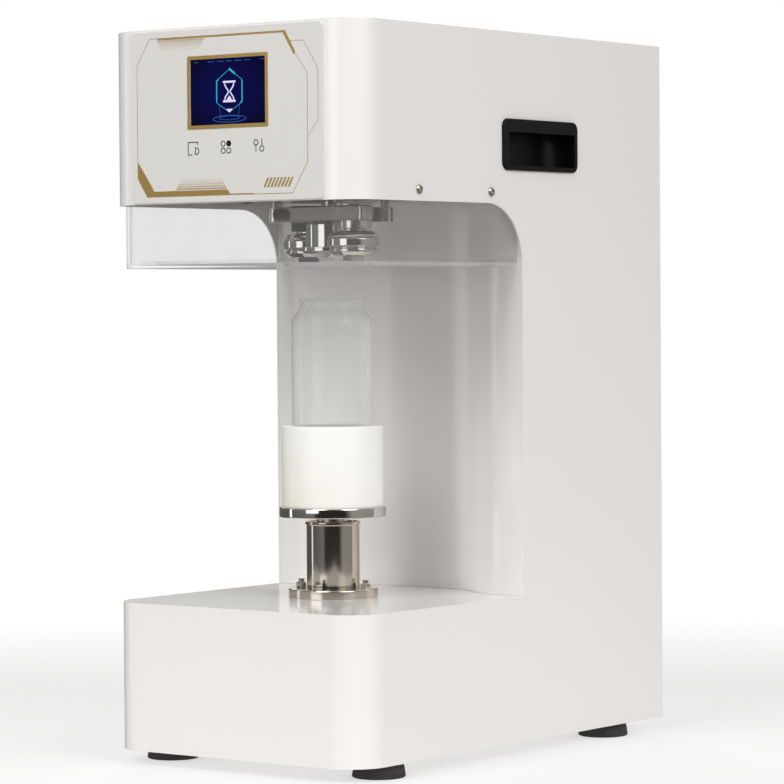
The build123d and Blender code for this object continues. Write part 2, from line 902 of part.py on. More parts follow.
def chuck_rod():
    lower = rod(0, axis_y, (chuck_top - chuck_socket, bridge_top), chuck_rod_radius)
    nut = Pos(0, axis_y, bridge_top) * extrude(RegularPolygon(chuck_nut_radius, 6), chuck_nut_height)
    return lower + nut


def lever_frame(which):
    """The second lever is the first one turned half round the seaming axis."""
    return Pos(0, axis_y, 0) * Rot(0, 0, 0 if which == 1 else 180)


def lever_arm(which):
    """Bar with the roller at one end and a split clamp lug at the other."""
    y = (-roller_offset_y - lever_width / 2, -roller_offset_y + lever_width / 2)
    z = (lever_bottom, lever_top)
    arm = block((-lever_inner, lever_outer), y, z)
    arm = fillet(arm.edges().filter_by(Axis.Z).group_by(Axis.X)[-1], lever_corner)
    arm = chamfer(arm.edges().filter_by(Axis.X), lever_edge)
    arm = arm + rod(-lever_pivot_x, -roller_offset_y, z, lever_lug_radius)
    arm = arm - rod(-lever_pivot_x, -roller_offset_y, past(z), lever_shaft_radius + running)
    slit_x = (-lever_pivot_x - lever_lug_radius - cut_past, -lever_pivot_x)
    slit_y = (-roller_offset_y - lever_slit / 2, -roller_offset_y + lever_slit / 2)
    slit = block(slit_x, slit_y, past(z))
    middle = (z[0] + z[1]) / 2
    screw_hole = rod_along_y(-pinch_screw_offset, past(y), middle, pinch_screw_radius + slip)
    axle_hole = rod(roller_offset_x, -roller_offset_y, past(z), roller_bore + running)
    return lever_frame(which) * (arm - slit - screw_hole - axle_hole)


def pinch_screw(which):
    """Socket-head screw that closes the split lug."""
    face = -roller_offset_y - lever_width / 2
    middle = (lever_bottom + lever_top) / 2
    x = -pinch_screw_offset
    head = rod_along_y(x, (face - pinch_head_height, face), middle, pinch_head_radius)
    head = fillet(head.edges().group_by(Axis.Y)[0], pinch_head_edge)
    head_plane = Plane(origin=(x, face - pinch_head_height, middle), z_dir=(0, 1, 0))
    socket = extrude(head_plane * RegularPolygon(pinch_socket_radius, 6), pinch_socket_depth)
    shank = rod_along_y(x, (face, face + lever_width), middle, pinch_screw_radius)
    return lever_frame(which) * (head - socket + shank)


def follower_place():
    """Where the follower touches the cam, in the first lever's own position."""
    return follower_distance * cos(follower_angle), follower_distance * sin(follower_angle)


def follower_level(which):
    return cam_middle - cone_height / 2 if which == 1 else cam_middle + cone_height / 2


def lever_shaft(which):
    """Upright shaft through the turret plate, with the arm and roller that follow the cam."""
    top = follower_level(which) + follower_height / 2
    shaft = rod(-lever_pivot_x, -roller_offset_y, (lever_bottom, top), lever_shaft_radius)
    fx, fy = follower_place()
    arm_z = (follower_level(which) - follower_height / 2, top)
    dx, dy = fx + lever_pivot_x, fy + roller_offset_y
    length = hypot(dx, dy)
    bar = Box(length - follower_radius / 2, follower_arm_width, follower_height)
    place = Pos(-lever_pivot_x + dx / 2, -roller_offset_y + dy / 2, (arm_z[0] + arm_z[1]) / 2)
    arm = place * Rot(0, 0, degrees(atan2(dy, dx))) * bar
    eye = rod(-lever_pivot_x, -roller_offset_y, arm_z, lever_shaft_radius + lever_eye_wall)
    wheel = rod(fx, fy, arm_z, follower_radius)
    wheel = fillet(wheel.edges(), follower_round)
    return lever_frame(which) * (shaft + eye + arm + wheel)


def roller_axle(which):
    """Axle clamped in the lever: disc above, eccentric collar below, nut under the roller."""
    x, y = roller_offset_x, -roller_offset_y
    axle = rod(x, y, (roller_bottom - axle_nut_height, lever_top + axle_disc_height), roller_bore)
    axle = axle + rod(x, y, (lever_top, lever_top + axle_disc_height), axle_disc_radius)
    collar_z = (roller_top + roller_hub_height + body_gap, lever_bottom)
    shift = axle_collar_offset / hypot(x, y)
    axle = axle + rod(x * (1 + shift), y * (1 + shift), collar_z, axle_collar_radius)
    nut = extrude(RegularPolygon(axle_nut_radius, 6), axle_nut_height - body_gap)
    return lever_frame(which) * (axle + Pos(x, y, roller_bottom - axle_nut_height) * nut)


def seaming_roller(which):
    """Grooved roller that folds the lid's edge; it turns on its axle."""
    x, y = roller_offset_x, -roller_offset_y
    low = roller_bottom
    foot_top = low + roller_foot_top
    low_top = low + roller_low_top
    groove_z = (low_top, low + roller_groove_top)
    band_top = low + roller_band_top
    hub_top = roller_top + roller_hub_height
    roller = taper(x, y, (low, foot_top), roller_low_radius - roller_foot_taper, roller_low_radius)
    roller = roller + rod(x, y, (foot_top, low_top), roller_low_radius)
    roller = roller + rod(x, y, groove_z, roller_groove_radius - roller_groove_depth)
    roller = roller + rod(x, y, (groove_z[1], band_top), roller_radius)
    dome = rod(x, y, (band_top, roller_top), roller_radius - roller_dome_step)
    dome = fillet(dome.edges().group_by(Axis.Z)[-1], roller_dome_round)
    hub = rod(x, y, (roller_top, hub_top), roller_bore + roller_hub_wall)
    roller = roller + dome + hub
    bore = rod(x, y, past((low, hub_top)), roller_bore + running)
    return lever_frame(which) * (roller - bore)


def turret_plate():
    """Plate that carries both levers round the can."""
    z = (turret_bottom, turret_top)
    plate = rod(0, axis_y, z, turret_radius)
    plate = chamfer(plate.edges().group_by(Axis.Z)[0], turret_edge)
    plate = plate - rod(0, axis_y, past(z), spindle_radius)
    for side in (-1, 1):
        x, y = side * lever_pivot_x, axis_y + side * roller_offset_y
        plate = plate - rod(x, y, past(z), lever_shaft_radius + running)
    return plate


def spindle():
    z = (turret_bottom, pulley_top)
    return ring(0, axis_y, z, spindle_radius, spindle_bore)


def cone_radius(offset):
    return cone_middle_radius + offset * follower_throw / shift_travel


def cam_spool():
    """Sleeve with two opposed cones: moved up it closes the first roller, moved down the second."""
    half = cone_height / 2
    wide, narrow = cone_radius(half), cone_radius(-half)
    spool = taper(0, axis_y, (cam_bottom, cam_middle), wide, narrow)
    spool = spool + taper(0, axis_y, (cam_middle, cone_top), narrow, wide)
    spool = spool + rod(0, axis_y, (cone_top, groove_bottom), wide)
    spool = spool + rod(0, axis_y, (groove_bottom, groove_top), cam_groove_radius)
    spool = spool + rod(0, axis_y, (groove_top, cam_top), wide)
    return spool - rod(0, axis_y, past((cam_bottom, cam_top)), spindle_radius + running)


def shift_fork():
    """Fork that rides in the spool's groove, with the rod that the actuator moves."""
    middle = (groove_bottom + groove_top) / 2
    z = (middle - fork_thickness / 2, middle + fork_thickness / 2)
    fork = block((-fork_width / 2, fork_width / 2), (axis_y, axis_y + fork_reach), z)
    fork = fork - rod(0, axis_y, past(z), cam_groove_radius + body_gap)
    post = rod(0, axis_y + fork_reach - fork_post_inset, (z[0], fork_rod_top()), fork_post_radius)
    return fork + post


def fork_rod_top():
    return carrier_top + fork_rod_rise


def shift_actuator():
    """Small actuator on the carrier that lifts and lowers the fork."""
    y = axis_y + fork_reach - fork_post_inset
    body_x = (-actuator_half_width, actuator_half_width)
    body_y = (y - actuator_half_depth, y + actuator_half_depth)
    body = block(body_x, body_y, (carrier_top, carrier_top + actuator_height))
    body = fillet(body.edges().filter_by(Axis.Z), actuator_corner)
    hole_top = fork_rod_top() + shift_travel + air
    return body - rod(0, y, (carrier_top - cut_past, hole_top), fork_post_radius + running)


# ---------------------------------------------------------------- frame and drive
def frame_limits():
    return (frame_front, frame_front + frame_plate_depth)


def main_frame():
    """Welded frame: two upright plates, the carrier over the column and the bridge that holds the rod."""
    y = frame_limits()
    z = (carrier_bottom, carrier_top)
    carrier = block((-carrier_half_width, carrier_half_width), (axis_y - carrier_front_reach, y[1]), z)
    carrier = carrier - rod(0, axis_y, past(z), bearing_radius + bearing_spigot_wall)
    carrier = carrier - rod(0, motor_y, past(z), motor_mount_hole)
    post_y = axis_y + fork_reach - fork_post_inset
    frame = carrier - rod(0, post_y, past(z), fork_post_radius + cut_past)
    bridge_y = (axis_y - bridge_half_depth, axis_y + bridge_half_depth)
    leg_inner = turret_pulley_radius + bridge_side_gap
    span = leg_inner + bridge_leg
    for side in (-1, 1):
        plate_x = sorted((side * (carrier_half_width - frame_plate), side * carrier_half_width))
        frame = frame + block(plate_x, y, (z_floor + sheet, carrier_bottom))
        leg_x = sorted((side * leg_inner, side * span))
        frame = frame + block(leg_x, bridge_y, (carrier_top, bridge_bottom))
    beam_z = (bridge_bottom, bridge_top)
    beam = block((-span, span), bridge_y, beam_z) - rod(0, axis_y, past(beam_z), chuck_rod_radius)
    return frame + beam


def bearing_housing():
    z = (carrier_top, bearing_top)
    housing = rod(0, axis_y, z, bearing_housing_radius)
    spigot = rod(0, axis_y, (carrier_bottom, carrier_top), bearing_radius + bearing_spigot_wall)
    bore = rod(0, axis_y, past((carrier_bottom, bearing_top)), bearing_radius)
    return housing + spigot - bore


def spindle_bearings():
    """Two ball bearings, each shown as one closed ring."""
    low = (carrier_bottom, carrier_bottom + bearing_width)
    high = (bearing_top - bearing_width, bearing_top)
    return [ring(0, axis_y, z, bearing_radius, spindle_radius + running) for z in (low, high)]


def toothed_pulley(y, radius, bore):
    """Timing pulley with a flange at each side; its teeth are left smooth."""
    z = (pulley_bottom, pulley_top)
    pulley = rod(0, y, z, radius)
    for level in ((z[0], z[0] + pulley_flange_height), (z[1] - pulley_flange_height, z[1])):
        pulley = pulley + rod(0, y, level, radius + pulley_flange_reach)
    return pulley - rod(0, y, past(z), bore)


def turret_pulley():
    return toothed_pulley(axis_y, turret_pulley_radius, spindle_radius)


def motor_pulley():
    shaft = rod(0, motor_y, (carrier_bottom - motor_socket + air, pulley_top), motor_shaft_radius)
    return toothed_pulley(motor_y, motor_pulley_radius, motor_shaft_radius) + shaft


def belt_band(grow):
    """Space inside a belt line that runs round both pulleys."""
    big = turret_pulley_radius + grow
    small = motor_pulley_radius + grow
    lean = asin((big - small) / motor_offset)
    points = [
        (big * cos(lean), big * sin(lean)),
        (small * cos(lean), motor_offset + small * sin(lean)),
        (-small * cos(lean), motor_offset + small * sin(lean)),
        (-big * cos(lean), big * sin(lean)),
    ]
    middle = (pulley_bottom + pulley_top) / 2
    band = make_face(Polyline(*points, close=True))
    band = Pos(0, axis_y, middle - belt_width / 2) * extrude(band, belt_width)
    z = (middle - belt_width / 2, middle + belt_width / 2)
    return band + rod(0, axis_y, z, big) + rod(0, motor_y, z, small)


def drive_belt():
    return belt_band(belt_thickness + body_gap) - belt_band(body_gap)


def seam_motor():
    z = (carrier_bottom - motor_length, carrier_bottom)
    body = rod(0, motor_y, z, motor_radius)
    body = fillet(body.edges().group_by(Axis.Z)[0], motor_edge)
    socket_z = (carrier_bottom - motor_socket, carrier_bottom + cut_past)
    body = body - rod(0, motor_y, socket_z, motor_shaft_radius + running)
    for step in range(motor_fins):
        level = z[0] + motor_fin_start + step * motor_fin_pitch
        gap_z = (level, level + motor_fin_gap)
        body = body - ring(0, motor_y, gap_z, motor_radius + cut_past, motor_radius - motor_fin_depth)
    return body


# ---------------------------------------------------------------- electrics
def power_supply():
    x = (-supply_size[0] / 2, supply_size[0] / 2)
    y_back = back - sheet - supply_back_gap
    z = (z_floor + sheet, z_floor + sheet + supply_size[2])
    box = block(x, (y_back - supply_size[1], y_back), z)
    box = fillet(box.edges().filter_by(Axis.Z), supply_corner)
    slot_y = (y_back - supply_slot_ends[1], y_back - supply_slot_ends[0])
    for step in range(supply_slots):
        slot_x = x[0] + supply_slot_start + step * supply_slot_pitch
        slot_z = (z[1] - supply_slot_depth, z[1] + cut_past)
        box = box - block((slot_x, slot_x + supply_slot_width), slot_y, slot_z)
    return box


def inlet_z():
    return z_floor + inlet_above_base


def inlet_body(x, y, grow):
    half_wide, half_high = inlet_body_half[0] + grow, inlet_body_half[1] + grow
    return block((x - half_wide, x + half_wide), y, (inlet_z() - half_high, inlet_z() + half_high))


def mains_inlet():
    """Appliance inlet with its three blades; no cord is fitted."""
    z = inlet_z()
    x = (inlet_x - inlet_width / 2, inlet_x + inlet_width / 2)
    flange = block(x, (back, back + inlet_flange), (z - inlet_height / 2, z + inlet_height / 2))
    flange = round_edges(flange, Axis.Y, inlet_corner)
    body = inlet_body(inlet_x, (back - inlet_depth, back), 0)
    cavity_x = (inlet_x - inlet_cavity_half[0], inlet_x + inlet_cavity_half[0])
    cavity_z = (z - inlet_cavity_half[1], z + inlet_cavity_half[1])
    cavity = block(cavity_x, (back - inlet_cavity_depth, back + inlet_flange + cut_past), cavity_z)
    inlet = flange + body - cavity
    blade_y = (back - inlet_cavity_depth, back - inlet_blade_recess)
    for step in (-1, 0, 1):
        px = inlet_x + step * inlet_blade_pitch
        pz = z + inlet_blade_offset * (1 if step == 0 else -1)
        blade_x = (px - inlet_blade_half[0], px + inlet_blade_half[0])
        inlet = inlet + block(blade_x, blade_y, (pz - inlet_blade_half[1], pz + inlet_blade_half[1]))
    return inlet


def switch_case(y, grow):
    x = (switch_x - switch_width / 2 - grow, switch_x + switch_width / 2 + grow)
    z = (inlet_z() - switch_height / 2 - grow, inlet_z() + switch_height / 2 + grow)
    return block(x, y, z)


def power_entry():
    """Snap-in inlet and the frame of the rocker switch beside it."""
    y = (back - switch_depth, back + inlet_flange)
    lip = switch_case((back, back + inlet_flange), switch_lip)
    hollow = switch_case((back - switch_depth + switch_floor, back + inlet_flange + cut_past), -switch_wall)
    frame = switch_case(y, 0) + lip - hollow
    return [mains_inlet(), frame - rocker_pin(slip, running)]


def rocker_pin(end_gap, gap):
    reach = switch_width / 2 - switch_wall + switch_pin_reach + end_gap
    x = (switch_x - reach, switch_x + reach)
    return rod_along_x(x, back - switch_pivot, inlet_z(), switch_pin_radius + gap)


def power_switch():
    """Rocker: two flat flanks that meet at a blunt edge, on a pin along X."""
    half_high = switch_height / 2 - switch_wall - switch_end_gap
    points = [
        (-half_high, rocker_end),
        (0, rocker_edge),
        (half_high, rocker_end),
        (half_high - rocker_taper, -rocker_below),
        (-half_high + rocker_taper, -rocker_below),
    ]
    outline = make_face(Polyline(*points, close=True))
    half_wide = switch_width / 2 - switch_wall - body_gap
    corner = (switch_x + half_wide, back - switch_pivot, inlet_z())
    place = Plane(origin=corner, x_dir=(0, 0, 1), z_dir=(-1, 0, 0))
    return extrude(place * outline, 2 * half_wide) + rocker_pin(0, 0)


def write(node, piece):
    """One STEP file for each node; a group keeps its pieces as separate solids."""
    shape = Compound(children=list(piece)) if isinstance(piece, list) else piece
    export_step(shape, f"parts/{node}.step")


PIECES = {
    "left_side_panel": lambda: side_panel(-1),
    "right_side_panel": lambda: side_panel(1),
    "head_front_shell": head_front_shell,
    "base_front_shell": base_front_shell,
    "top_cover": top_cover,
    "base_deck": base_deck,
    "column_front_panel": column_front_panel,
    "head_floor": head_floor,
    "back_cover": back_cover,
    "back_cover_screws": back_cover_screws,
    "bottom_plate": bottom_plate,
    "rubber_feet": rubber_feet,
    "main_frame": main_frame,
    "control_panel": control_panel,
    "display_bezel": display_bezel,
    "display_screen": display_screen,
    "control_board": control_board,
    "left_handle": lambda: flush_handle(-1),
    "right_handle": lambda: flush_handle(1),
    "guard_shell": guard_shell,
    "guard_plate": guard_plate,
    "guard_strips": guard_strips,
    "guard_screws": guard_screws,
    "guide_flange": guide_flange,
    "guide_tube": guide_tube,
    "flange_bolts": flange_bolts,
    "lift_motor": lift_motor,
    "screw_coupling": screw_coupling,
    "lead_screw": lead_screw,
    "lift_nut": lift_nut,
    "lift_shaft": lift_shaft,
    "lift_disc": lift_disc,
    "can_holder": can_holder,
    "sample_can": sample_can,
    "seaming_chuck": seaming_chuck,
    "chuck_rod": chuck_rod,
    "spindle": spindle,
    "turret_plate": turret_plate,
    "turret_pulley": turret_pulley,
    "bearing_housing": bearing_housing,
    "spindle_bearings": spindle_bearings,
    "cam_spool": cam_spool,
    "shift_fork": shift_fork,
    "shift_actuator": shift_actuator,
    "seam_motor": seam_motor,
    "motor_pulley": motor_pulley,
    "drive_belt": drive_belt,
    "power_supply": power_supply,
    "power_entry": power_entry,
    "power_switch": power_switch,
}
for which, name in ((1, "first"), (2, "second")):
    PIECES[f"{name}_lever_arm"] = lambda which=which: lever_arm(which)
    PIECES[f"{name}_lever_shaft"] = lambda which=which: lever_shaft(which)
    PIECES[f"{name}_roller_axle"] = lambda which=which: roller_axle(which)
    PIECES[f"{name}_roller"] = lambda which=which: seaming_roller(which)
    PIECES[f"{name}_pinch_screw"] = lambda which=which: pinch_screw(which)

os.makedirs("parts", exist_ok=True)
for node, make in PIECES.items():
    write(node, make())
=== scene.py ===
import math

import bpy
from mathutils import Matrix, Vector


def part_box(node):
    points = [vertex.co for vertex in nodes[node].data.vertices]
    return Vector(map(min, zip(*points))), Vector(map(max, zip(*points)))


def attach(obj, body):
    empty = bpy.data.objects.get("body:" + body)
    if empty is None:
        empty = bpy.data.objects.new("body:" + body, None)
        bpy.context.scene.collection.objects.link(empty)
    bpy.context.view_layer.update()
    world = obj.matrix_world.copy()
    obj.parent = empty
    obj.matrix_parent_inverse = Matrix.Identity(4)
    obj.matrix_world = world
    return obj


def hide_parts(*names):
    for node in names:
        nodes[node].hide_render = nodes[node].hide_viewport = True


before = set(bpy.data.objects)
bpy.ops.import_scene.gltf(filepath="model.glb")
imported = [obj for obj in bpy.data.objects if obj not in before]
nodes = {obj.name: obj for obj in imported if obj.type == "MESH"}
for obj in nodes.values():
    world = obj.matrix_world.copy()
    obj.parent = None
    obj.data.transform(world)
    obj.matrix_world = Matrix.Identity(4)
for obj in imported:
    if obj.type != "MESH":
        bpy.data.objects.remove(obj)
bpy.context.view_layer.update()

# %% [markdown]
# This lesson dresses a bench-top can sealing machine. The exact model of the machine is already here
# as a fixed frame: its bodies move, its pieces have the right size, but everything is plain.

MM = 0.001

# %% [markdown]
# The camera comes first, because every later choice is judged through it. It stands to the right of
# the machine and a little above the middle, far away with a long lens, so the edges stay nearly
# parallel. Its frame is built from three directions instead of angles, which also takes the small roll.

# %% Camera
AZIMUTH = math.radians(36.804)
TILT = math.radians(1.448)
ROLL = math.radians(-0.414)
DISTANCE = 2.9541
LOOK_AT = Vector((0.00457, -0.00708, 0.30075))
LENS = 160.47

level_forward = Vector((-math.sin(AZIMUTH), math.cos(AZIMUTH), 0))
level_right = Vector((math.cos(AZIMUTH), math.sin(AZIMUTH), 0))
upright = Vector((0, 0, 1))
forward = level_forward * math.cos(TILT) - upright * math.sin(TILT)
above = upright * math.cos(TILT) + level_forward * math.sin(TILT)
right = level_right * math.cos(ROLL) + above * math.sin(ROLL)
above = above * math.cos(ROLL) - level_right * math.sin(ROLL)

camera_data = bpy.data.cameras.new("studio_camera")
camera_data.lens = LENS
camera = bpy.data.objects.new("studio_camera", camera_data)
bpy.context.scene.collection.objects.link(camera)
turn = Matrix((right, above, -forward)).transposed().to_4x4()
camera.matrix_world = Matrix.Translation(LOOK_AT - forward * DISTANCE) @ turn
bpy.context.scene.camera = camera
print("camera at", [round(value, 3) for value in camera.location])

# %% [markdown]
# A white machine needs light that differs from side to side, or its faces melt together. A broad
# softbox on the right makes the long side bright, a weaker one lifts the front, and one high in front
# reaches the deck. A narrow strip on the left draws a bright line on round metal, and the last one
# keeps the back from going dull.

# %% Lights and surroundings
def softbox(name, place, aim, size, power):
    lamp = bpy.data.lights.new(name, "AREA")
    lamp.shape = "RECTANGLE"
    lamp.size, lamp.size_y = size
    lamp.energy = power
    holder = bpy.data.objects.new(name, lamp)
    holder.location = place
    holder.rotation_euler = (Vector(aim) - Vector(place)).to_track_quat("-Z", "Y").to_euler()
    bpy.context.scene.collection.objects.link(holder)


softbox("side_softbox", (2.4, -0.6, 1.8), (0.1, 0, 0.45), (1.6, 1.8), 41)
softbox("front_softbox", (-0.3, -2.5, 0.75), (0, 0, 0.3), (1.3, 1.3), 8)
softbox("top_softbox", (0.1, -1.8, 1.8), (0, 0, 0.2), (1.2, 1.2), 24)
softbox("strip_softbox", (-1.7, -0.9, 0.5), (0, 0, 0.3), (0.22, 1.3), 1.6)
softbox("rear_softbox", (-1.6, 1.8, 1.4), (0, 0, 0.3), (1.2, 1.2), 14)

bpy.context.scene.view_settings.view_transform = "Standard"
print("lights:", [lamp.name for lamp in bpy.data.lights])

# %% [markdown]
# Finishes are written as sums. A small class wraps a node's socket, so that 0.3 + 0.1 * grain adds
# the Math nodes by itself. A second class holds one finish: its surface shader, one method that adds
# any other node, and short names for the few that come back again and again.

# %% Sockets in expressions
class Wire:
    """A socket that can stand in a Python expression of numbers."""

    def __init__(self, tree, socket):
        self.tree = tree
        self.socket = socket

    def combine(self, operation, first, second):
        node = self.tree.nodes.new("ShaderNodeMath")
        node.operation = operation
        for socket, value in zip(node.inputs, (first, second)):
            connect(self.tree, socket, value)
        return Wire(self.tree, node.outputs[0])

    def __add__(self, other):
        return self.combine("ADD", self, other)

    def __sub__(self, other):
        return self.combine("SUBTRACT", self, other)

    def __rsub__(self, other):
        return self.combine("SUBTRACT", other, self)

    def __mul__(self, other):
        return self.combine("MULTIPLY", self, other)

    def __pow__(self, other):
        return self.combine("POWER", self, other)

    __radd__ = __add__
    __rmul__ = __mul__


def connect(tree, socket, value):
    if isinstance(value, Wire):
        tree.links.new(value.socket, socket)
    else:
        socket.default_value = value


class Finish:
    """One material: a Principled surface and the nodes that vary it."""

    def __init__(self, name, **constants):
        self.material = bpy.data.materials.new(name)
        self.material.use_nodes = True
        self.tree = self.material.node_tree
        self.surface = self.tree.nodes["Principled BSDF"]
        for socket, value in constants.items():
            self.surface.inputs[socket.replace("_", " ")].default_value = value
        self.place = self.node("ShaderNodeTexCoord", output="Object")

    def node(self, kind, settings=None, sockets=None, output=0):
        node = self.tree.nodes.new(kind)
        for setting, value in (settings or {}).items():
            setattr(node, setting, value)
        for socket, value in (sockets or {}).items():
            connect(self.tree, node.inputs[socket], value)
        return Wire(self.tree, node.outputs[output])

    def stretched(self, scale):
        return self.node("ShaderNodeMapping", sockets={"Vector": self.place, "Scale": scale})

    def noise(self, scale, detail=3.0, place=None):
        sockets = {"Vector": place or self.place, "Scale": scale, "Detail": detail}
        return self.node("ShaderNodeTexNoise", sockets=sockets)

    def axis(self, letter, centre=(0, 0, 0)):
        moved = self.node("ShaderNodeMapping", sockets={"Vector": self.place, "Location": centre})
        return self.node("ShaderNodeSeparateXYZ", sockets={0: moved}, output="XYZ".index(letter))

    def colour(self, first, second, factor):
        settings = {"data_type": "RGBA"}
        sockets = {0: factor, 6: (*first, 1), 7: (*second, 1)}
        mixed = self.node("ShaderNodeMix", settings, sockets, output=2)
        self.set("Base Color", mixed)
        return mixed

    def bump(self, height, depth):
        sockets = {"Height": height, "Distance": depth, "Strength": 1.0}
        self.set("Normal", self.node("ShaderNodeBump", sockets=sockets))

    def set(self, socket, value):
        connect(self.tree, self.surface.inputs[socket], value)


finishes = {}
print("finish tools ready")

# %% [markdown]
# The room around the machine is only seen in its metal. It is bright to the right and above and
# falls off to the left and below, and a dark flag hangs behind the camera, so chrome gets light
# sides round a dark middle. The camera looks past all of it to pure white.

# %% Surroundings
world = bpy.data.worlds.new("studio")
world.use_nodes = True
sky = world.node_tree
sky.nodes.clear()
direction = sky.nodes.new("ShaderNodeTexCoord")
split = sky.nodes.new("ShaderNodeSeparateXYZ")
sky.links.new(direction.outputs["Generated"], split.inputs[0])
across, along, up = (Wire(sky, socket) for socket in split.outputs)
flag = (0.6 * across - 0.8 * along - 0.72) * 1.9
room = 0.25 + 0.12 * across + 0.20 * up - flag.combine("MAXIMUM", flag, 0)
room = room.combine("MAXIMUM", room, 0.03)
lit = sky.nodes.new("ShaderNodeBackground")
connect(sky, lit.inputs["Strength"], room)
seen = sky.nodes.new("ShaderNodeBackground")
seen.inputs["Color"].default_value = (1, 1, 1, 1)
lit.inputs["Color"].default_value = (1.0, 0.985, 0.965, 1)
path = sky.nodes.new("ShaderNodeLightPath")
choose = sky.nodes.new("ShaderNodeMixShader")
sky_out = sky.nodes.new("ShaderNodeOutputWorld")
sky.links.new(path.outputs["Is Camera Ray"], choose.inputs[0])
sky.links.new(lit.outputs[0], choose.inputs[1])
sky.links.new(seen.outputs[0], choose.inputs[2])
sky.links.new(choose.outputs[0], sky_out.inputs[0])
bpy.context.scene.world = world
print("surroundings ready")

# %% [markdown]
# The casing is bent steel with a warm white powder coat. Baked powder flows together but keeps a
# fine orange peel, which shows only in its gloss. Large soft clouds in colour and roughness keep the
# big faces from looking like paper. The touch panel's printed film is flatter and a little greyer.

# %% White coats
def white_coat(name, light, dark, roughness, peel_size, peel_depth, coat):
    finish = Finish(name, Coat_Roughness=0.08, Specular_IOR_Level=0.5)
    clouds = finish.noise(4.0, 1.0)
    finish.colour(light, dark, clouds)
    finish.set("Roughness", roughness + 0.03 * clouds)
    finish.set("Coat Weight", coat + 0.02 * clouds)
    finish.bump(finish.noise(peel_size, 1.0), peel_depth)
    finishes[name] = finish.material


white_coat("white_powder_coat", (0.885, 0.862, 0.840), (0.872, 0.848, 0.824), 0.24, 620.0, 0.00002, 0.45)
white_coat("panel_white", (0.78, 0.762, 0.730), (0.765, 0.747, 0.715), 0.18, 300.0, 0.00001, 0.5)
print("coats:", list(finishes))

# %% [markdown]
# Turned and ground metal is told apart by its tool marks. On turned pieces the marks run round the
# axis, so noise is squeezed along the height. Ground bars have fine lines along their length.
# Nickel is warm with an even grain, chrome nearly neutral and much smoother.

# %% Bare metals
def bare_metal(name, light, dark, roughness, marks, mark_scale, depth):
    """Metal with tool marks: marks stretches the noise, so that the lines follow the tool."""
    finish = Finish(name, Metallic=1.0)
    lines = finish.noise(mark_scale, 4.0, finish.stretched(marks))
    smudges = finish.noise(45.0, 3.0)
    finish.colour(light, dark, 0.5 * lines + 0.5 * smudges)
    finish.set("Roughness", roughness * (0.7 + 0.35 * lines + 0.35 * smudges))
    finish.bump(lines, depth)
    finishes[name] = finish.material


TURNED = (0.08, 0.08, 1.0)
GROUND = (0.05, 1.0, 1.0)
PLAIN = (1.0, 1.0, 1.0)
bare_metal("satin_nickel", (0.68, 0.63, 0.56), (0.56, 0.51, 0.45), 0.13, PLAIN, 2600.0, 0.000004)
bare_metal("polished_chrome", (0.74, 0.72, 0.69), (0.62, 0.60, 0.57), 0.07, TURNED, 3000.0, 0.000001)
bare_metal("bright_steel", (0.76, 0.71, 0.65), (0.58, 0.53, 0.47), 0.20, GROUND, 2400.0, 0.000003)
bare_metal("cast_aluminium", (0.70, 0.71, 0.72), (0.55, 0.56, 0.58), 0.42, PLAIN, 500.0, 0.00003)
bare_metal("bronze", (0.72, 0.50, 0.24), (0.52, 0.34, 0.14), 0.32, TURNED, 900.0, 0.00001)
bare_metal("gold", (0.80, 0.56, 0.20), (0.70, 0.47, 0.15), 0.38, PLAIN, 2500.0, 0.000002)
print("finishes with the metals:", len(finishes))

# %% [markdown]
# Everything dark or coated differs mostly in gloss and grain: moulded handles have a fine spark
# texture, rubber is dull and dusty, blackened steel is oily, and motors carry a satin enamel.

# %% Dark and coated finishes
def grained(name, light, dark, roughness, grain, depth, coat=0.0):
    finish = Finish(name, Coat_Weight=coat, Coat_Roughness=0.15, Specular_IOR_Level=0.18)
    grains = finish.noise(grain, 3.0)
    dust = finish.noise(60.0, 4.0)
    finish.colour(light, dark, dust)
    finish.set("Roughness", roughness + 0.18 * dust)
    finish.bump(grains, depth)
    finishes[name] = finish.material


grained("black_plastic", (0.003, 0.003, 0.003), (0.006, 0.006, 0.006), 0.26, 1500.0, 0.00002)
grained("black_rubber", (0.034, 0.033, 0.032), (0.060, 0.058, 0.056), 0.52, 900.0, 0.00005)
grained("black_oxide", (0.020, 0.019, 0.018), (0.045, 0.043, 0.040), 0.28, 1100.0, 0.00001, 0.2)
grained("grey_steel", (0.30, 0.31, 0.32), (0.38, 0.39, 0.40), 0.45, 500.0, 0.00003)
grained("motor_black", (0.020, 0.020, 0.023), (0.045, 0.045, 0.050), 0.35, 700.0, 0.00002, 0.2)
grained("belt_rubber", (0.015, 0.015, 0.015), (0.030, 0.030, 0.030), 0.60, 600.0, 0.00005)
grained("icon_ink", (0.006, 0.006, 0.007), (0.012, 0.012, 0.013), 0.30, 2000.0, 0.000003)

board = Finish("circuit_board", Roughness=0.35)
tracks = board.node("ShaderNodeTexBrick", {"offset": 0.37, "squash": 1.6}, {
    "Vector": board.place, "Scale": 260.0, "Mortar Size": 0.03,
}, output="Fac")
board.colour((0.02, 0.14, 0.05), (0.10, 0.30, 0.12), tracks)
board.bump(tracks, 0.00004)
finishes["circuit_board"] = board.material
print("finishes so far:", len(finishes))
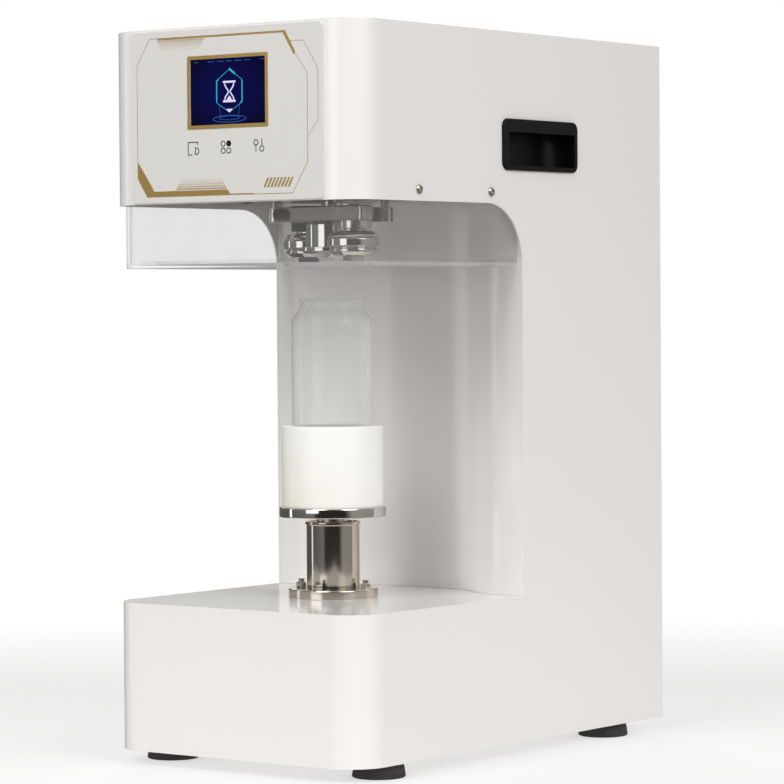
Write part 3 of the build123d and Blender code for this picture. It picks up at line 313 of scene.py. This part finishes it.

# %% [markdown]
# The cup that holds the can is turned white plastic, and a trace of light goes into it. A warm cream
# is painted low on its left side, away from the key light, as painted shade and painted glow of light
# through the plastic: a ramp over height and across, mixed with soft clouds.

# %% White plastic of the holder
holder_low, holder_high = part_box("can_holder")
cup = Finish("white_plastic", Subsurface_Weight=0.12, Subsurface_Scale=0.01, Coat_Weight=0.1)
cup.surface.inputs["Subsurface Radius"].default_value = (1.0, 0.8, 0.6)
height = (cup.axis("Z") - holder_low.z) * (1 / (holder_high.z - holder_low.z))
# Painted shade and glow: a warm cream low on the left side, away from the key light.
leftward = 0.5 - 9.0 * cup.axis("X")
painted_shade_glow = (1 - height) * leftward * (0.6 + 0.4 * cup.noise(14.0, 2.0))
cup.colour((0.93, 0.92, 0.89), (0.90, 0.82, 0.66), painted_shade_glow)
rings = cup.noise(900.0, 3.0, cup.stretched(TURNED))
cup.set("Roughness", 0.30 + 0.12 * rings)
cup.bump(rings, 0.00001)
finishes["white_plastic"] = cup.material
print("holder finish spans", round(holder_high.z - holder_low.z, 4), "m")

# %% [markdown]
# Clear plastic lets most light pass and shines at glancing angles. A true refracting shader would
# throw a black shadow on the white steel behind it, so the sheet is made see-through by its alpha,
# which grows where the surface turns away. Faint streaks make the plastic visible. The floor plate
# of the guard is the same clear acrylic, given a whiter copy of the finish as painted light: a painted
# reflection for the bright band it shows, because it is mostly seen along its surface.

# %% Clear plastics
def clear_plastic(name, tint, thin, edge, power, roughness):
    finish = Finish(name, Roughness=roughness, Coat_Weight=0.6, Coat_Roughness=0.03)
    streaks = finish.noise(60.0, 3.0, finish.stretched((1.0, 1.0, 0.25)))
    finish.colour(tint, tuple(0.93 * part for part in tint), streaks)
    facing = finish.node("ShaderNodeLayerWeight", sockets={"Blend": 0.5}, output="Facing")
    finish.set("Alpha", thin + edge * facing ** power + 0.03 * streaks)
    finish.set("Roughness", roughness + 0.05 * streaks)
    finish.bump(streaks, 0.00002)
    finishes[name] = finish.material


clear_plastic("clear_acrylic", (0.50, 0.49, 0.47), 0.07, 0.40, 4.0, 0.04)
clear_plastic("clear_pet", (0.97, 0.97, 0.96), 0.13, 0.80, 2.4, 0.05)
# Whiter copy of the clear acrylic for the guard's floor plate: painted reflection along the plate.
clear_plastic("acrylic_plate_painted_glare", (0.97, 0.95, 0.93), 0.06, 0.75, 2.0, 0.05)
print("clear plastics ready")

# %% [markdown]
# The display glows: a dark glass whose emission is a deep blue that darkens towards the rim. The
# figures on it are thin shapes of their own with their own glow.

# %% Display finishes
screen_low, screen_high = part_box("display_screen")
screen_middle = (screen_low + screen_high) / 2
glass = Finish("display_glass", Roughness=0.06, Specular_IOR_Level=0.05, Emission_Strength=0.5)
across = glass.axis("X", (-screen_middle.x, 0, 0)) * (1 / (screen_high.x - screen_low.x))
up = glass.axis("Z", (0, 0, -screen_middle.z)) * (1 / (screen_high.z - screen_low.z))
rim = 2.2 * (across * across + up * up) + 0.15 * glass.noise(90.0)
glow = glass.node("ShaderNodeMix", {"data_type": "RGBA"}, {
    0: rim, 6: (0.004, 0.005, 0.12, 1), 7: (0.001, 0.001, 0.022, 1),
}, output=2)
glass.set("Emission Color", glow)
glass.set("Base Color", (0.002, 0.002, 0.01, 1))
finishes["display_glass"] = glass.material


def glowing(name, bright, dim, strength):
    finish = Finish(name, Roughness=0.3, Emission_Strength=strength)
    finish.set("Base Color", (0.0, 0.0, 0.0, 1))
    glow = finish.node("ShaderNodeMix", {"data_type": "RGBA"}, {
        0: finish.noise(300.0), 6: (*bright, 1), 7: (*dim, 1),
    }, output=2)
    finish.set("Emission Color", glow)
    finishes[name] = finish.material


glowing("white_glow", (0.86, 0.85, 1.0), (0.66, 0.62, 1.0), 1.0)
glowing("cyan_glow", (0.02, 0.50, 0.65), (0.01, 0.30, 0.50), 1.0)
glowing("dim_glow", (0.02, 0.12, 0.40), (0.01, 0.07, 0.30), 1.0)
print("display finishes ready")

# %% [markdown]
# Every piece of the frame gets its finish by the name of its slot. Pieces that are remade below
# are hidden later by the new piece that stands for them.

# %% Finishes on the frame's own pieces
for node in nodes.values():
    for slot in node.material_slots:
        slot.material = finishes[slot.material.name.split(".")[0]]
print("dressed", len(nodes), "frame pieces")

# %% [markdown]
# Small tools for modelling. Operators act on what is selected, so each tool starts by clearing the
# selection. Real sheet and machined edges are never knife sharp: the softening tool takes a copy of
# a frame piece, merges its loose triangles, breaks its edges with a small bevel and shades it so that
# flat faces stay flat.

# %% Modelling tools
WELD = 0.000002
COARSE_WELD = 0.000005
FLAT = math.radians(0.3)
SHARP = math.radians(40)


def clear_selection():
    if bpy.context.mode != "OBJECT":
        bpy.ops.object.mode_set(mode="OBJECT")
    bpy.ops.object.select_all(action="DESELECT")


def pick(*pieces):
    clear_selection()
    for piece in pieces:
        piece.select_set(True)
    bpy.context.view_layer.objects.active = pieces[-1]


def edit_all(*operators):
    """Run edit-mode operators, each on the whole mesh of the active piece."""
    bpy.ops.object.mode_set(mode="EDIT")
    for operator, options in operators:
        bpy.ops.mesh.select_all(action="SELECT")
        operator(**options)
    bpy.ops.object.mode_set(mode="OBJECT")


def apply_modifier(piece, kind, **settings):
    pick(piece)
    modifier = piece.modifiers.new(kind.title(), kind)
    for setting, value in settings.items():
        setattr(modifier, setting, value)
    bpy.ops.object.modifier_apply(modifier=modifier.name)


def smooth(piece, angle=35):
    pick(piece)
    bpy.ops.object.shade_smooth_by_angle(angle=math.radians(angle))
    apply_modifier(piece, "WEIGHTED_NORMAL", keep_sharp=True)


def place_on(piece, name, body, finish, *replaced, slot=None):
    piece.name = name
    piece.data.materials.clear()
    piece.data.materials.append(finishes[finish])
    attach(piece, body)
    if replaced:
        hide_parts(*replaced)
    return piece


def clean_up(weld):
    """Merge the active piece's points that are closer than weld, then its faces that are flat."""
    edit_all(
        (bpy.ops.mesh.remove_doubles, {"threshold": weld}),
        (bpy.ops.mesh.dissolve_limited, {"angle_limit": FLAT}),
    )


def copy_of(node_name):
    pick(nodes[node_name])
    bpy.ops.object.duplicate()
    piece = bpy.context.object
    piece.parent = None
    for key in list(piece.keys()):
        del piece[key]
    clean_up(WELD)
    return piece


def soften(piece, width, segments=2):
    apply_modifier(
        piece, "BEVEL", width=width * MM, segments=segments, limit_method="ANGLE",
        angle_limit=SHARP, use_clamp_overlap=True,
    )
    smooth(piece)
    return piece


print("modelling tools ready")

# %% [markdown]
# The casing is cut sheet, bent and welded, ground smooth and painted as one, so no seam shows.
# The frame holds it as separate panels. Copies of them are united one after another, and the edges
# of the whole are rounded by the thickness of the paint.

# %% Outer casing
casing_panels = [
    "left_side_panel", "right_side_panel", "head_front_shell", "base_front_shell", "top_cover", "base_deck",
]
casing = copy_of(casing_panels[0])
for panel in casing_panels[1:]:
    part = copy_of(panel)
    apply_modifier(casing, "BOOLEAN", operation="UNION", solver="EXACT", object=part)
    bpy.data.objects.remove(part)
pick(casing)
clean_up(COARSE_WELD)
soften(casing, 0.7, 3)
place_on(casing, "outer_casing", "housing", "white_powder_coat", *casing_panels)
print("casing faces:", len(casing.data.polygons))

# %% [markdown]
# Many machined and moulded pieces are right as they are and only need broken edges. One list gives
# each its edge width in millimetres, its body and its finish.

# %% Pieces with broken edges
broken_edges = [
    ("column_front_panel", "housing", "white_powder_coat", 0.4),
    ("back_cover", "housing", "white_powder_coat", 0.3),
    ("control_panel", "housing", "panel_white", 0.35),
    ("display_bezel", "housing", "gold", 0.15),
    ("left_handle", "housing", "black_plastic", 0.5),
    ("right_handle", "housing", "black_plastic", 0.5),
    ("guard_shell", "housing", "clear_acrylic", 0.4),
    ("guard_plate", "housing", "acrylic_plate_painted_glare", 0.5),
    ("guard_strips", "housing", "clear_acrylic", 0.2),
    ("guard_screws", "housing", "satin_nickel", 0.15),
    ("back_cover_screws", "housing", "bright_steel", 0.15),
    ("guide_flange", "housing", "satin_nickel", 0.4),
    ("flange_bolts", "housing", "satin_nickel", 0.3),
    ("seaming_chuck", "housing", "polished_chrome", 0.3),
    ("first_lever_arm", "first_lever", "bright_steel", 0.5),
    ("second_lever_arm", "second_lever", "bright_steel", 0.5),
    ("first_pinch_screw", "first_lever", "black_oxide", 0.2),
    ("second_pinch_screw", "second_lever", "black_oxide", 0.2),
    ("first_roller_axle", "first_lever", "bright_steel", 0.4),
    ("second_roller_axle", "second_lever", "black_oxide", 0.4),
    ("turret_plate", "turret", "bright_steel", 0.5),
    ("power_entry", "housing", "black_plastic", 0.3),
    ("power_switch", "power_switch", "black_plastic", 0.4),
]
for node_name, body, finish, width in broken_edges:
    piece = soften(copy_of(node_name), width)
    slot = "clear_acrylic" if finish == "acrylic_plate_painted_glare" else finish
    place_on(piece, node_name + "_finished", body, finish, node_name, slot=slot)
print("softened", len(broken_edges), "pieces")

# %% [markdown]
# Round pieces are turned, in Blender as on a lathe: half of the outline is drawn beside the axis
# and spun round it. Corners are given with a radius and become short curves.

# %% Lathe
def rounded(corners, steps=5):
    """Outline through (x, z, radius) corners, each replaced by a short curve."""
    outline = []
    for index, (x, z, radius) in enumerate(corners):
        corner = Vector((x, z))
        if radius == 0:
            outline.append(corner)
            continue
        back = (Vector(corners[index - 1][:2]) - corner).normalized()
        ahead = (Vector(corners[(index + 1) % len(corners)][:2]) - corner).normalized()
        for step in range(steps + 1):
            t = step / steps
            outline.append(corner + back * radius * (1 - t) ** 2 + ahead * radius * t**2)
    return outline


def turned(profile, centre, steps=96):
    """Spin a closed outline of (radius, height) in millimetres round the upright line at centre."""
    clear_selection()
    bpy.ops.mesh.primitive_circle_add(vertices=len(profile), radius=1)
    piece = bpy.context.object
    for vertex, (radius, level) in zip(piece.data.vertices, profile):
        vertex.co = (centre.x + radius * MM, centre.y, level * MM)
    spin = {"steps": steps, "angle": 2 * math.pi, "center": (centre.x, centre.y, 0), "axis": (0, 0, 1)}
    edit_all(
        (bpy.ops.mesh.spin, spin),
        (bpy.ops.mesh.remove_doubles, {"threshold": WELD}),
        (bpy.ops.mesh.normals_make_consistent, {"inside": False}),
    )
    pick(piece)
    bpy.ops.object.shade_smooth_by_angle(angle=SHARP)
    return piece


def axis_of(node_name):
    low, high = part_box(node_name)
    return (low + high) / 2


def levels_of(node_name):
    low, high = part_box(node_name)
    return low.z / MM, high.z / MM, (high.x - low.x) / 2 / MM


print("lathe ready")

# %% [markdown]
# The lift is a stack of turned pieces: a plated guide tube with a thin rolled rim, a polished disc
# and the white cup. The cup's mouth has a soft lead-in where the can slides down.

# %% Lift pieces
low, high, radius = levels_of("lift_disc")
disc_edge = 1.2
disc_profile = rounded([(0, low, 0), (radius, low, disc_edge), (radius, high, disc_edge), (0, high, 0)])
disc = turned(disc_profile, axis_of("lift_disc"), 128)
place_on(disc, "lift_table", "lift", "polished_chrome", "lift_disc")

low, high, radius = levels_of("can_holder")
can_low, _, can_radius = levels_of("sample_can")
mouth_clearance = 0.4
mouth = can_radius + mouth_clearance
cup_profile = rounded([
    (0, low, 0), (radius - 0.6, low, 0), (radius, low + 0.8, 0.5), (radius, high, 1.4),
    (mouth, high, 1.6), (mouth, can_low, 1.0), (0, can_low, 0),
])
cup_piece = turned(cup_profile, axis_of("can_holder"), 128)
place_on(cup_piece, "holder_cup", "lift", "white_plastic", "can_holder")

low, high, radius = levels_of("guide_tube")
bore = 13.6
rim_step = 1.0
tube_radius = radius - rim_step
tube_profile = rounded([
    (bore, low, 0), (tube_radius, low, 0.3), (tube_radius, high - 2.6, 0.4), (radius, high - 2.2, 0.4),
    (radius, high, 0.5), (tube_radius - 0.8, high, 0.4), (tube_radius - 1.0, high - 1.6, 0.3),
    (bore, high - 1.6, 0.2),
])
tube = turned(tube_profile, axis_of("guide_tube"), 96)
place_on(tube, "guide_tube_plated", "housing", "satin_nickel", "guide_tube")
print("lift pieces:", disc.name, cup_piece.name, tube.name)

# %% [markdown]
# The can is blown plastic: a thin even wall, a small foot ring with a pushed-up base, a soft
# shoulder, a neck and the flange that the lid is rolled onto. Its wall is one thin closed skin.

# %% Clear can
low, high, radius = levels_of("sample_can")
wall = 0.5
neck = 25.9
flange = 27.7
outside = [
    (0, 5.5), (9, 5.2), (16, 3.0), (20.5, 0.5), (22.5, 0.0),
    (24.5, 0.4), (28.5, 3.0), (31.5, 6.5), (32.8, 10),
    (radius, 14), (radius, 145.0), (32.4, 148.5), (30.6, 152.2), (28.0, 155.6), (26.4, 157.8),
    (neck, 159.6), (neck, 163.0), (26.3, 163.9), (27.2, 164.4), (flange, 165.0), (flange, 165.7),
]
lip = [(27.3, 166.0), (26.0, 166.0)]
inside_top = 165.9
inside = [(max(0, r - wall), min(z + wall, inside_top)) for r, z in reversed(outside[:-2])]
can_profile = [(r, low + z) for r, z in outside + lip + inside]
can = turned(can_profile, axis_of("sample_can"), 112)
place_on(can, "clear_can", "lift", "clear_pet", "sample_can")
print("can stands", round(low, 1), "to", round(high, 1), "mm")

# %% [markdown]
# Each seaming roller is hardened steel with a worked groove near its foot, a broad band, and a
# domed cap. Both are turned from one outline, each on its own axle.

# %% Seaming rollers
low, high, radius = levels_of("first_roller")
roller_bore = 6.05
roller_profile = rounded([
    (roller_bore, low, 0.2), (15.6, low, 0.4), (19.4, low + 3.2, 0.5), (19.4, low + 5.0, 0.4),
    (18.7, low + 5.6, 0.3), (18.7, low + 6.5, 0.3), (21.0, low + 7.2, 0.4),
    (radius, low + 8.0, 0.5), (radius, low + 14.0, 0.8),
    (20.2, low + 14.6, 0.4), (19.9, low + 16.2, 1.2), (16.8, low + 20.0, 2.6), (11.0, low + 20.0, 0.2),
    (10.5, low + 20.3, 0.2), (10.5, high, 0.3), (roller_bore, high, 0.2),
])
rollers = {}
for name in ("first_roller", "second_roller"):
    rollers[name] = turned(roller_profile, axis_of(name), 96)
    place_on(rollers[name], name + "_turned", name, "polished_chrome", name)
print("rollers:", list(rollers))

# %% [markdown]
# The feet are moulded rubber cones, each with a moulding line near the top, a rounded tread and a
# recess for the screw. Four copies stand under the corners and make one piece.

# %% Rubber feet
feet_low, feet_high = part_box("rubber_feet")
foot_height = (feet_high.z - feet_low.z) / MM
foot_radius = 21.5
foot_profile = rounded([
    (0, foot_height, 0), (20.0, foot_height, 0.4), (20.3, foot_height - 2.4, 0.3),
    (19.9, foot_height - 2.9, 0.3), (20.5, foot_height - 3.4, 0.3), (foot_radius, 0.9, 0.7), (20.2, 0, 0.8),
    (5.5, 0, 0.6), (5.5, 3.5, 0.5), (0, 3.5, 0),
])
inset = foot_radius * MM
feet = []
for x in (feet_low.x + inset, feet_high.x - inset):
    for y in (feet_low.y + inset, feet_high.y - inset):
        feet.append(turned(foot_profile, Vector((x, y, 0)), 64))
pick(*feet)
bpy.ops.object.join()
place_on(bpy.context.object, "moulded_feet", "housing", "black_rubber", "rubber_feet")
print("feet:", len(feet))

# %% [markdown]
# The artwork is printed on the panel: gold bands and hairlines, dots that fade out, slanted bars and
# three black symbols. Each shape is a circle of as many points as the outline needs, moved to the
# outline and given a film's thickness. Lines are outlines too, with mitred corners.

# %% Printing tools
PRINT = 0.05
panel_low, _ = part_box("control_panel")
panel_face = panel_low.y / MM
panel_bottom = panel_low.z / MM
screen_face = screen_low.y / MM


def shape(outline, face, film=PRINT):
    """Thin plate with the outline, given in millimetres across and above the panel's lower edge."""
    clear_selection()
    bpy.ops.mesh.primitive_circle_add(vertices=len(outline), radius=1, fill_type="NGON")
    piece = bpy.context.object
    for vertex, (x, z) in zip(piece.data.vertices, outline):
        vertex.co = (x * MM, face * MM, (panel_bottom + z) * MM)
    apply_modifier(piece, "SOLIDIFY", thickness=2 * film * MM, offset=0)
    edit_all((bpy.ops.mesh.normals_make_consistent, {"inside": False}))
    return piece


def stroke(points, width, closed=False):
    """Outline of a line through the points; closed lines give one outline with a hidden slit."""
    points = [Vector(point) for point in points]
    if closed:
        points = points + points[:1]
    sides = ([], [])
    last = len(points) - 1
    for index, point in enumerate(points):
        before = points[index] - points[index - 1] if index else None
        after = points[index + 1] - point if index < last else None
        if closed and index in (0, last):
            before = points[last] - points[last - 1]
            after = points[1] - points[0]
        across = [step.normalized().orthogonal() for step in (before, after) if step]
        normal = sum(across, Vector((0, 0)))
        normal = normal / normal.length_squared * len(across) if len(across) == 2 else normal
        offset = normal * width / 2
        sides[0].append(point + offset)
        sides[1].append(point - offset)
    return sides[0] + sides[1][::-1]


def circle(centre, radius, count=24, squash=1.0):
    turns = [2 * math.pi * step / count for step in range(count)]
    return [(centre[0] + radius * math.cos(t), centre[1] + squash * radius * math.sin(t)) for t in turns]


def printed(name, outlines, finish, face, slot=None):
    pieces = [shape(outline, face) for outline in outlines]
    pick(*pieces)
    if len(pieces) > 1:
        bpy.ops.object.join()
    return place_on(bpy.context.object, name, "housing", finish, slot=slot)


print("printing tools ready")

# %% Gold artwork
bands = [
    [
        (-92.2, 34.5), (-74.3, 9.6), (1.9, 9.6), (4.8, 6.1),
        (28.6, 6.1), (29.4, 5.0), (-82.2, 5.0), (-92.2, 20.2),
    ],
    [
        (-71.0, 133.0), (61.5, 133.0), (72.0, 115.4), (69.6, 113.4),
        (68.4, 116.4), (58.9, 131.3), (-69.6, 131.3),
    ],
    stroke([(29.2, 5.2), (68.2, 5.2), (83.4, 29.2), (83.4, 99.2), (71.0, 115.0)], 0.5),
    stroke([(-92.0, 34.0), (-92.0, 112.0), (-78.2, 132.8), (-70.8, 132.8)], 0.45),
    stroke([(66.6, 124.3), (79.6, 124.3), (94.0, 102.2), (94.0, 61.6), (83.8, 49.3)], 0.45),
]
bars = []
for number in range(8):
    x = 38.7 + 3.5 * number
    bars.append([(x, 10.2), (x + 2.0, 10.2), (x + 6.0, 17.8), (x + 4.0, 17.8)])
printed("gold_bands", bands + bars, "gold", panel_face)


def dot_field(count, corner, pitch, climb, lean, size, shrink):
    """Five rows of dots from the corner on, each row one dot shorter and with smaller dots."""
    field = []
    for row in range(5):
        for column in range(count - row):
            centre = (corner[0] + lean * row + pitch * column, corner[1] + climb * row)
            field.append(circle(centre, size - shrink * row, 8))
    return field


dots = dot_field(24, (-69.5, 130.3), 2.05, -1.75, 1.05, 0.75, 0.11)
dots = dots + dot_field(25, (-50.5, 10.9), 2.1, 1.85, 1.1, 0.85, 0.13)
printed("gold_dots", dots, "gold", panel_face)
print("printed", len(bands) + len(bars), "bands and", len(dots), "dots")

# %% Symbols
ink = 0.8
half_disc = [(-31.0, 43.6), (-31.0, 38.2)]
bow_turns = [math.radians(angle) for angle in range(-80, 81, 20)]
bow = [(-30.6 + 3.2 * math.cos(t), 40.9 + 2.7 * math.sin(t)) for t in bow_turns]
symbols = [
    stroke([(-28.6, 45.8), (-28.6, 48.0), (-38.4, 48.0), (-38.4, 38.0), (-34.2, 38.0)], ink),
    stroke(half_disc + bow, ink, closed=True),
    circle((3.6, 46.0), 2.5),
    stroke([(31.4, 43.8), (31.4, 38.4)], ink),
    stroke([(37.4, 48.8), (37.4, 43.2)], ink),
]
for centre in ((-2.2, 46.0), (-2.2, 40.4), (3.6, 40.4), (31.4, 45.9), (37.4, 40.9)):
    symbols.append(stroke(circle(centre, 2.1), ink, closed=True))
printed("key_symbols", symbols, "icon_ink", panel_face, slot="black_plastic")
print("symbols:", len(symbols))

# %% [markdown]
# The display shows a waiting sign: an hourglass in a tall hexagon above two rings of light. The
# sides of the hourglass follow a bell curve, so the waist is smooth.

# %% Display figures
middle = 4.4
hexagon = [(4.4, 105.0), (17.4, 96.4), (17.4, 78.6), (4.4, 70.8), (-8.6, 78.6), (-8.6, 96.4)]
hexagon_line = stroke(hexagon, 0.45, closed=True)
printed("hexagon_lines", [hexagon_line], "cyan_glow", screen_face, slot="display_glass")
accents = [
    stroke([(-8.6, 79.4), (-8.6, 95.4), (-7.0, 97.4)], 1.1),
    stroke([(15.6, 77.8), (17.4, 79.4), (17.4, 96.0)], 1.1),
    stroke([(4.2, 105.4), (10.2, 101.2)], 1.7),
]
printed("hexagon_accents", accents, "cyan_glow", screen_face - PRINT, slot="display_glass")


def glass_side(side):
    levels = [80.4 + 0.7 * step for step in range(20)]
    return [(middle + side * (4.7 - 3.7 * math.exp(-(((z - 87.2) / 3.4) ** 2))), z) for z in levels]


hourglass = [
    stroke([(-2.0, 95.0), (10.8, 95.0)], 1.6),
    stroke([(-2.0, 79.6), (10.8, 79.6)], 1.6),
    stroke(glass_side(1), 1.1),
    stroke(glass_side(-1), 1.1),
    [(1.6, 80.6), (7.2, 80.6), (4.4, 84.2)],
    [(1.2, 73.4), (7.6, 73.4), (4.4, 70.6)],
]
printed("hourglass_sign", hourglass, "white_glow", screen_face - 2 * PRINT, slot="display_glass")
rings_of_light = [
    stroke(circle((middle, 65.6), 16.8, 40, 0.16), 0.5, closed=True),
    stroke(circle((middle, 66.4), 10.5, 32, 0.15), 0.4, closed=True),
    stroke([(-6.2, 77.0), (-4.8, 68.0)], 0.35),
    stroke([(15.0, 77.0), (13.6, 68.0)], 0.35),
]
dashes = (
    (-32.0, -27.0), (-18.0, -11.0), (-8.0, -1.0), (1.4, 7.0), (10.0, 17.0), (20.0, 26.0), (36.0, 41.0),
)
for start, end in dashes:
    rings_of_light.append(stroke([(start, 111.6), (end, 111.6)], 0.5))
printed("display_lines", rings_of_light, "dim_glow", screen_face, slot="display_glass")
print("display figures ready")

# %% [markdown]
# The machine stands on a plain pale floor that fades out from about half a metre to just over a metre
# away, so no horizon shows. The floor is left out of reflections, so the metal mirrors the room.

# %% Floor
clear_selection()
bpy.ops.mesh.primitive_plane_add(size=30, location=(0, 0, 0))
floor = bpy.context.object
floor.name = "studio_floor"
floor_finish = Finish("studio_floor", Specular_IOR_Level=0.05, Emission_Strength=0.55)
floor_finish.set("Emission Color", (1, 1, 1, 1))
floor_finish.colour((0.38, 0.38, 0.38), (0.36, 0.36, 0.36), floor_finish.noise(3.0))
floor_finish.set("Roughness", 0.7 + 0.1 * floor_finish.noise(8.0))
distance_squared = floor_finish.axis("X") ** 2 + floor_finish.axis("Y") ** 2
fade = 1.3 - 0.9 * distance_squared
fade = fade.combine("MINIMUM", fade, 1.0)
floor_finish.set("Alpha", fade.combine("MAXIMUM", fade, 0.0))
floor.data.materials.append(floor_finish.material)
floor.visible_glossy = False
print("floor laid")
